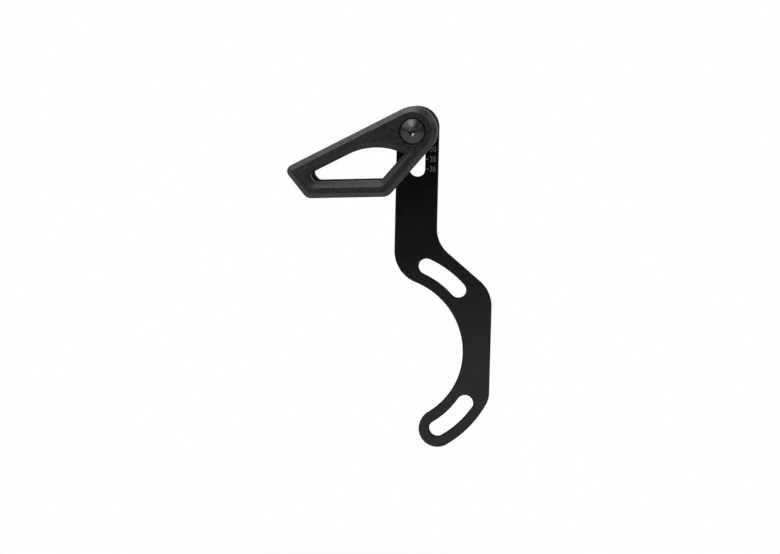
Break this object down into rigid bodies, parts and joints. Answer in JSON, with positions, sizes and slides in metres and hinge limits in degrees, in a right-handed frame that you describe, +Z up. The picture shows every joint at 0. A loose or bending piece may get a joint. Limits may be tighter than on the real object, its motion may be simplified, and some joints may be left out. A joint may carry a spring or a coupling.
{
  "type": "bicycle chain guide",
  "caption": "Black bicycle chain guide: a flat slotted backplate round the bottom bracket and a bevelled open plastic cage clamped by a bolt along a sizing slot.",
  "frame": {"origin": "bottom bracket axis, in the plane of the backplate's mounting face", "axes": "+X to the front of the bicycle, +Y inboard, out of the mounting face towards the frame's tabs, +Z up"},
  "size_m": [0.0777, 0.0295, 0.135],
  "materials": {
    "anodised_plate": "matte black anodised",
    "moulded_nylon": "fine moulded texture, black",
    "moulded_nylon_inner": "fine moulded texture, black",
    "blackened_bolt": "black oxide, satin",
    "blackened_nut": "black oxide, satin",
    "anodised_spacer": "matte black anodised"
  },
  "bodies": {
    "plate": {"backplate": "anodised_plate"},
    "carriage": {"clamp_bolt": "blackened_bolt", "slot_nut": "blackened_nut", "spacer_1": "anodised_spacer", "spacer_2": "anodised_spacer"},
    "cage": {"inner_guide": "moulded_nylon_inner", "outer_guide": "moulded_nylon"}
  },
  "joints": [
    {"name": "height_slide", "type": "slide", "parent": "plate", "child": "carriage", "axis": [0, 0, 1], "range_m": [-0.01617, 0]},
    {"name": "cage_swivel", "type": "hinge", "parent": "carriage", "child": "cage", "pos_m": [0.00968, -0.0145, 0.08786], "axis": [0, -1, 0], "range_deg": [-20, 20]}
  ]
}
